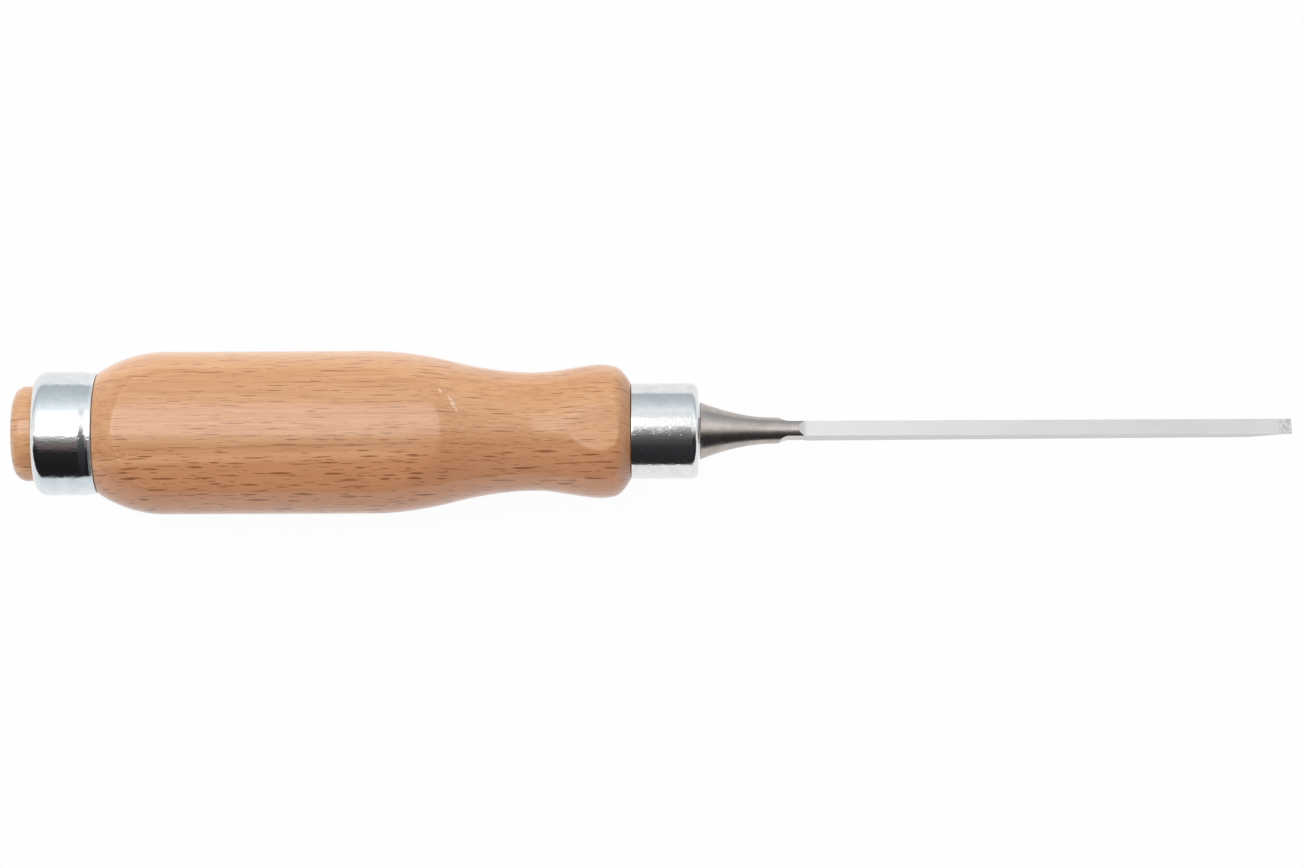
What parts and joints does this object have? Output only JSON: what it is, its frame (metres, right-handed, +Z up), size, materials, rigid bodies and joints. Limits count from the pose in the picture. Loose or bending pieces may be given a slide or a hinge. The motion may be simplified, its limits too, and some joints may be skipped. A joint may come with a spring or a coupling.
{
  "type": "bevel edge chisel",
  "caption": "Narrow bevel edge chisel with a turned beech handle, crowned grip flats, a front ferrule, a striking hoop and a forged blade with a tang.",
  "frame": {"origin": "on the bench under the middle of the tool's length, with the chisel lying on the lower flat of its grip", "axes": "+X along the tool towards the cutting edge, +Y across the blade's width, +Z up out of the blade's flat back"},
  "size_m": [0.26, 0.0332, 0.0298],
  "materials": {
    "ground_steel": "satin",
    "lacquered_beech": "satin",
    "plated_ferrule": "gloss",
    "plated_hoop": "gloss"
  },
  "bodies": {
    "root": {"blade": "ground_steel", "handle": "lacquered_beech", "front_ferrule": "plated_ferrule", "striking_hoop": "plated_hoop"}
  },
  "joints": []
}
